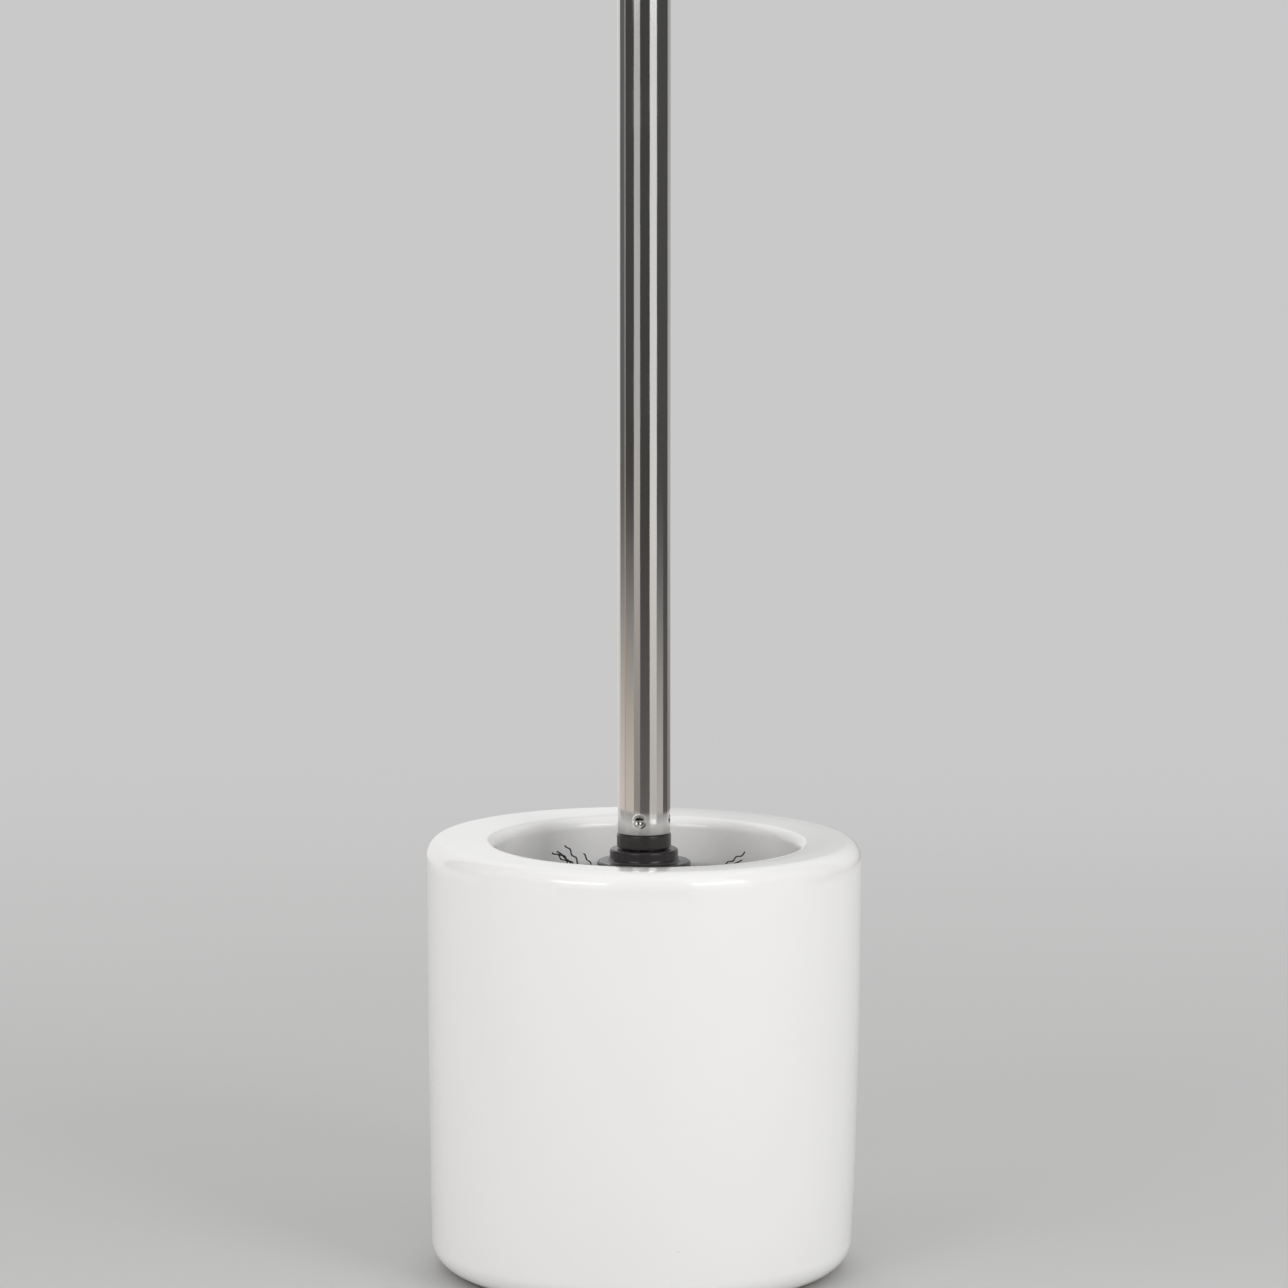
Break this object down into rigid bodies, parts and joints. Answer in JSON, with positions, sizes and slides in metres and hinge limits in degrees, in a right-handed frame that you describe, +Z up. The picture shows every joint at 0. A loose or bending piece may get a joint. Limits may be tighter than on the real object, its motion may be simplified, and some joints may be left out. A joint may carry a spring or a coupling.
{
  "type": "toilet brush holder",
  "caption": "Thick-rimmed glazed ceramic pot with a lift-out toilet brush: straight steel tube handle, black ferrule, screw-on hub with radial bristle tufts.",
  "frame": {"origin": "centre of the footprint, on the surface the pot stands on", "axes": "+Z up along the handle, +X to the right, the front faces -Y"},
  "size_m": [0.099, 0.099, 0.38],
  "materials": {
    "pot_glaze": "white, smooth gloss glaze",
    "foot_pad": "matt closed-cell pad",
    "polished_steel": "polished stainless steel, drawn lengthwise",
    "ferrule_plastic": "black, semi-gloss moulding",
    "hub_plastic": "black, semi-gloss moulding",
    "bristle": "black crimped filament",
    "anchor_wire": "flat galvanised wire"
  },
  "bodies": {
    "pot": {"pot": "pot_glaze", "foot_pads": "foot_pad"},
    "handle": {"handle_tube": "polished_steel", "handle_end_cap": "polished_steel", "ferrule": "ferrule_plastic"},
    "head": {"brush_hub": "hub_plastic", "bristle_row_1": "bristle", "bristle_row_2": "bristle", "bristle_row_3": "bristle", "bristle_row_4": "bristle", "bristle_row_5": "bristle", "bristle_row_6": "bristle", "bristle_row_7": "bristle", "bristle_row_8": "bristle", "bristle_crown_outer": "bristle", "bristle_crown_inner": "bristle", "bristle_anchors": "anchor_wire"}
  },
  "joints": [
    {"name": "brush_lift", "type": "slide", "parent": "pot", "child": "handle", "axis": [0, 0, 1], "range_m": [0, 0.13]},
    {"name": "head_unscrew", "type": "hinge", "parent": "handle", "child": "head", "pos_m": [0, 0, 0.0969], "axis": [0, 0, -1], "range_deg": [0, 1080]}
  ]
}
